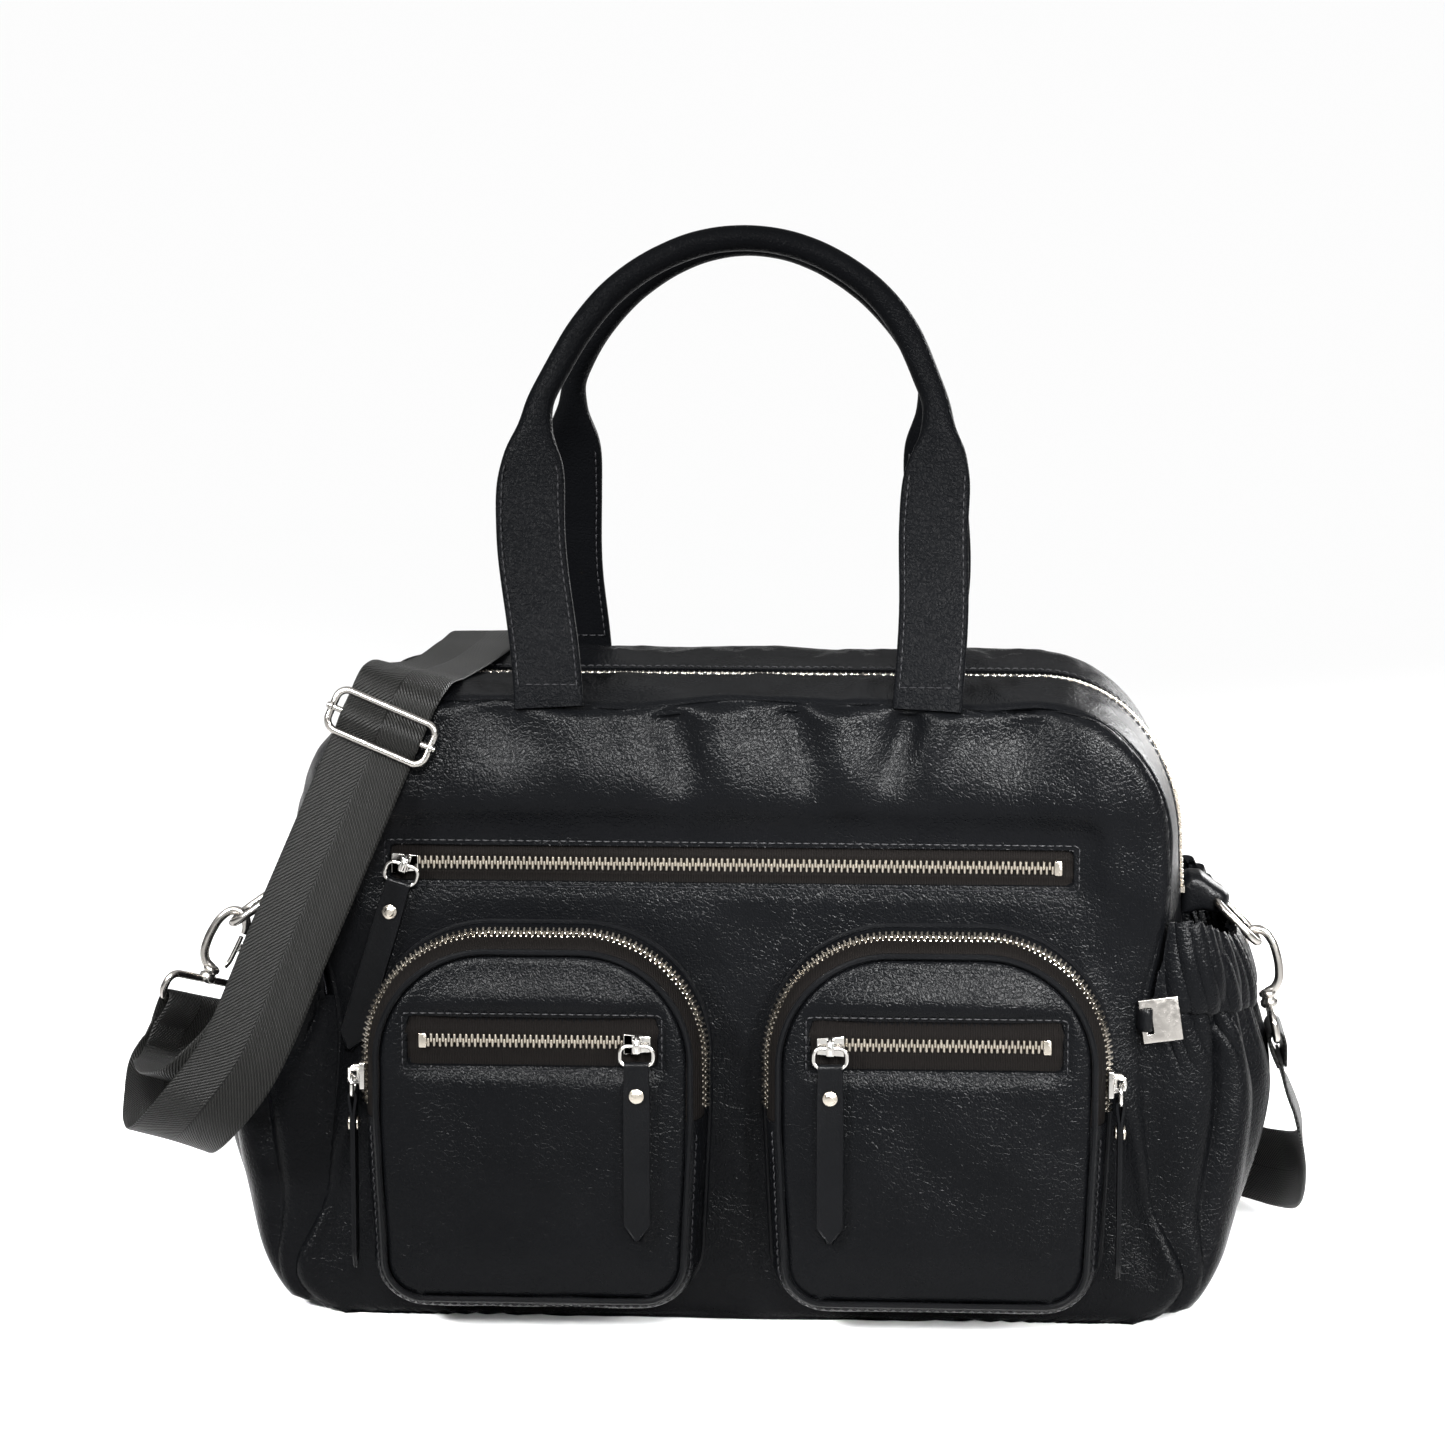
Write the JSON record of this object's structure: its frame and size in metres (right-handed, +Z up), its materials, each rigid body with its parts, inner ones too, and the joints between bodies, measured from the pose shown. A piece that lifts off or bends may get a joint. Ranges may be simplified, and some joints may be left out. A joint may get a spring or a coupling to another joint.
{
  "type": "diaper bag",
  "caption": "Soft duffel diaper bag with zipped mouth, front zip pocket, cargo pockets, elastic side pockets, rolled handles and a clip-on shoulder strap.",
  "frame": {"origin": "centre of the flat base, on the surface the bag stands on", "axes": "+X to the right across the front as seen from the front, -Y out of the front, +Z up"},
  "size_m": [0.556, 0.2899, 0.4936],
  "materials": {
    "leather": "semi-gloss black pebbled faux leather",
    "zip_tape": "matt woven zip tape, very dark brown",
    "nickel": "polished light nickel",
    "webbing": "matt herringbone webbing, charcoal",
    "lining_cloth": "matt plain weave, dark grey",
    "stiffener": "matt"
  },
  "bodies": {
    "shell": {"front_panel": "leather", "back_panel": "leather", "base_panel": "leather", "side_gusset_left": "leather", "side_gusset_right": "leather", "top_strip_front_left": "leather", "top_strip_front_right": "leather", "top_strip_rear_left": "leather", "top_strip_rear_right": "leather", "cargo_gusset_left": "leather", "cargo_gusset_right": "leather", "cargo_face_left": "leather", "cargo_face_right": "leather", "side_pocket_left": "leather", "side_pocket_right": "leather", "side_pocket_hem_left": "leather", "side_pocket_hem_right": "leather", "ring_loop_left": "leather", "ring_loop_right": "leather", "main_zip_left_end": "zip_tape", "main_zip_right_end": "zip_tape", "front_zip": "zip_tape", "cargo_u_zip_left": "zip_tape", "cargo_u_zip_right": "zip_tape", "cargo_face_zip_left": "zip_tape", "cargo_face_zip_right": "zip_tape", "side_tag": "nickel", "strap": "webbing", "strap_underlayer": "webbing", "lining": "lining_cloth", "inner_pocket": "lining_cloth", "front_pocket_bag": "lining_cloth", "base_board": "stiffener"},
    "mouth_front": {"top_strip_front_middle": "leather", "main_zip_front_half": "zip_tape"},
    "mouth_rear": {"top_strip_rear_middle": "leather", "main_zip_rear_half": "zip_tape"},
    "front_handle": {"front_handle": "leather"},
    "rear_handle": {"rear_handle": "leather"},
    "main_zip_slider": {"main_zip_slider": "nickel"},
    "main_zip_pull": {"main_zip_pull": "leather"},
    "front_zip_slider": {"front_zip_slider": "nickel"},
    "front_zip_pull": {"front_zip_pull": "leather"},
    "cargo_face_left_slider": {"cargo_face_left_slider": "nickel"},
    "cargo_face_left_pull": {"cargo_face_left_pull": "leather"},
    "cargo_face_right_slider": {"cargo_face_right_slider": "nickel"},
    "cargo_face_right_pull": {"cargo_face_right_pull": "leather"},
    "cargo_u_left_slider": {"cargo_u_left_slider": "nickel"},
    "cargo_u_left_pull": {"cargo_u_left_pull": "leather"},
    "cargo_u_right_slider": {"cargo_u_right_slider": "nickel"},
    "cargo_u_right_pull": {"cargo_u_right_pull": "leather"},
    "d_ring_left": {"d_ring_left": "nickel"},
    "snap_hook_left": {"snap_hook_left": "nickel", "strap_end_left": "webbing"},
    "hook_gate_left": {"hook_gate_left": "nickel"},
    "d_ring_right": {"d_ring_right": "nickel"},
    "snap_hook_right": {"snap_hook_right": "nickel", "strap_end_right": "webbing"},
    "hook_gate_right": {"hook_gate_right": "nickel"},
    "strap_buckle": {"strap_buckle": "nickel"}
  },
  "joints": [
    {"name": "mouth_front_lift", "type": "hinge", "parent": "shell", "child": "mouth_front", "pos_m": [0.051, -0.0807, 0.284], "axis": [1, 0, 0], "range_deg": [0, 50]},
    {"name": "mouth_rear_lift", "type": "hinge", "parent": "shell", "child": "mouth_rear", "pos_m": [0.051, 0.0807, 0.284], "axis": [-1, 0, 0], "range_deg": [0, 50]},
    {"name": "front_handle_fold", "type": "hinge", "parent": "shell", "child": "front_handle", "pos_m": [0, -0.0834, 0.2855], "axis": [1, 0, 0], "range_deg": [0, 150]},
    {"name": "rear_handle_fold", "type": "hinge", "parent": "shell", "child": "rear_handle", "pos_m": [0, 0.0834, 0.2855], "axis": [-1, 0, 0], "range_deg": [0, 150]},
    {"name": "main_zip_slide", "type": "hinge", "parent": "shell", "child": "main_zip_slider", "pos_m": [-0.135, 0, 0.214], "axis": [0, 1, 0], "range_deg": [0, 55]},
    {"name": "main_zip_pull_lift", "type": "hinge", "parent": "main_zip_slider", "child": "main_zip_pull", "pos_m": [-0.2114, 0, 0.202], "axis": [0, 0.1701, 0.9854], "range_deg": [0, 100]},
    {"name": "front_zip_slide", "type": "slide", "parent": "shell", "child": "front_zip_slider", "axis": [1, 0, 0], "range_m": [0, 0.18], "deforming": ["front_zip_pull"]},
    {"name": "front_zip_pull_lift", "type": "hinge", "parent": "front_zip_slider", "child": "front_zip_pull", "pos_m": [-0.15, -0.0886, 0.211], "axis": [-0.9563, 0, 0.2924], "range_deg": [0, 100]},
    {"name": "cargo_face_left_slide", "type": "slide", "parent": "shell", "child": "cargo_face_left_slider", "axis": [-1, 0, 0], "range_m": [0, 0.088]},
    {"name": "cargo_face_left_pull_lift", "type": "hinge", "parent": "cargo_face_left_slider", "child": "cargo_face_left_pull", "pos_m": [-0.043, -0.1243, 0.137], "axis": [-1, 0, 0], "range_deg": [0, 100]},
    {"name": "cargo_u_left_slide", "type": "hinge", "parent": "shell", "child": "cargo_u_left_slider", "pos_m": [-0.11, -0.105, 0.127], "axis": [0, 1, 0], "range_deg": [0, 15]},
    {"name": "cargo_u_left_pull_lift", "type": "hinge", "parent": "cargo_u_left_slider", "child": "cargo_u_left_pull", "pos_m": [-0.1719, -0.105, 0.118], "axis": [0, 1, 0], "range_deg": [0, 30]},
    {"name": "cargo_face_right_slide", "type": "slide", "parent": "shell", "child": "cargo_face_right_slider", "axis": [1, 0, 0], "range_m": [0, 0.088]},
    {"name": "cargo_face_right_pull_lift", "type": "hinge", "parent": "cargo_face_right_slider", "child": "cargo_face_right_pull", "pos_m": [0.043, -0.1243, 0.137], "axis": [-1, 0, 0], "range_deg": [0, 100]},
    {"name": "cargo_u_right_slide", "type": "hinge", "parent": "shell", "child": "cargo_u_right_slider", "pos_m": [0.11, -0.105, 0.127], "axis": [0, -1, 0], "range_deg": [0, 80]},
    {"name": "cargo_u_right_pull_lift", "type": "hinge", "parent": "cargo_u_right_slider", "child": "cargo_u_right_pull", "pos_m": [0.1719, -0.105, 0.118], "axis": [0, -1, 0], "range_deg": [0, 100]},
    {"name": "d_ring_left_swing", "type": "hinge", "parent": "shell", "child": "d_ring_left", "pos_m": [-0.218, 0, 0.182], "axis": [0, 1, 0], "range_deg": [0, 35]},
    {"name": "snap_hook_left_swing", "type": "hinge", "parent": "d_ring_left", "child": "snap_hook_left", "pos_m": [-0.24094, 0, 0.16594], "axis": [0, 1, 0], "range_deg": [0, 40]},
    {"name": "hook_gate_left_press", "type": "hinge", "parent": "snap_hook_left", "child": "hook_gate_left", "pos_m": [-0.24501, 0, 0.14348], "axis": [0, -1, 0], "range_deg": [0, 18], "stiffness_Nm_per_rad": 0.01, "springref_deg": -20.05},
    {"name": "d_ring_right_swing", "type": "hinge", "parent": "shell", "child": "d_ring_right", "pos_m": [0.218, 0, 0.182], "axis": [0, -1, 0], "range_deg": [0, 35]},
    {"name": "snap_hook_right_swing", "type": "hinge", "parent": "d_ring_right", "child": "snap_hook_right", "pos_m": [0.2378, 0, 0.1622], "axis": [0, -1, 0], "range_deg": [0, 40]},
    {"name": "hook_gate_right_press", "type": "hinge", "parent": "snap_hook_right", "child": "hook_gate_right", "pos_m": [0.23619, 0, 0.13943], "axis": [0, 1, 0], "range_deg": [0, 18], "stiffness_Nm_per_rad": 0.01, "springref_deg": -20.05},
    {"name": "strap_buckle_slide", "type": "slide", "parent": "shell", "child": "strap_buckle", "axis": [-0.3865, -0.1696, -0.9065], "range_m": [0, 0.1]}
  ]
}
